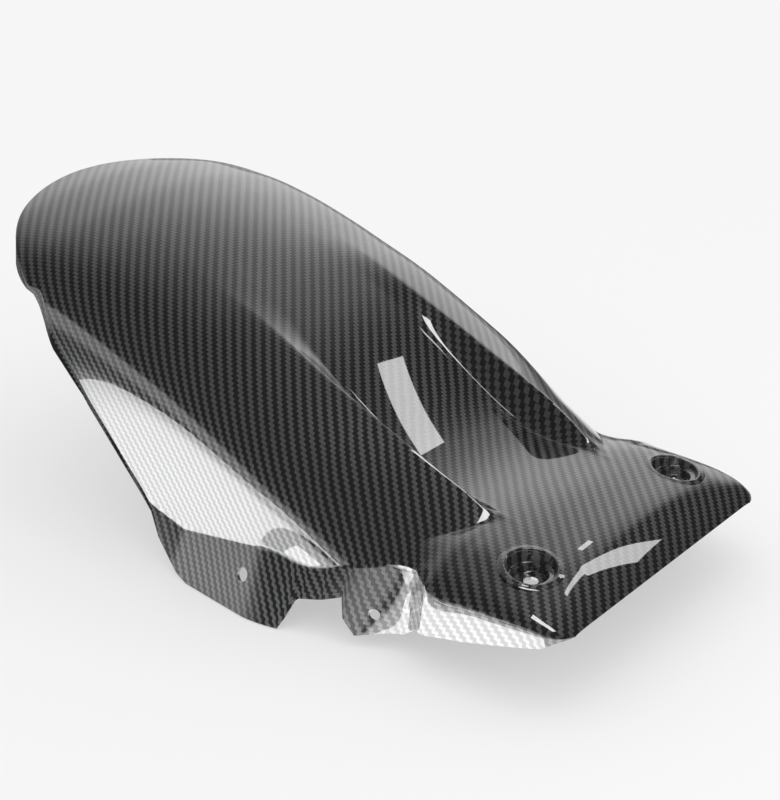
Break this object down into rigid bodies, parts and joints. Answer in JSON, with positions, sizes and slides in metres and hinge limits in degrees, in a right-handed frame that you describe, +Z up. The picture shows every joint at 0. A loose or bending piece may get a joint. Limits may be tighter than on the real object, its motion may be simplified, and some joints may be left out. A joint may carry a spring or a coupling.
{
  "type": "motorcycle rear hugger mudguard",
  "caption": "Rear hugger mudguard in gloss twill carbon laminate: crowned arch over the tyre, ridges with a sunken channel, bevelled front plate with stepped cups, drilled side tabs.",
  "frame": {"origin": "on the table under the middle of the outer box, as the part stands on its two side tabs", "axes": "+X towards the front of the bike, +Y to its left, +Z up"},
  "size_m": [0.4902, 0.292, 0.1907],
  "materials": {
    "laminate": "gloss clear coat over 2x2 twill"
  },
  "bodies": {
    "root": {"hugger_shell": "laminate"}
  },
  "joints": []
}
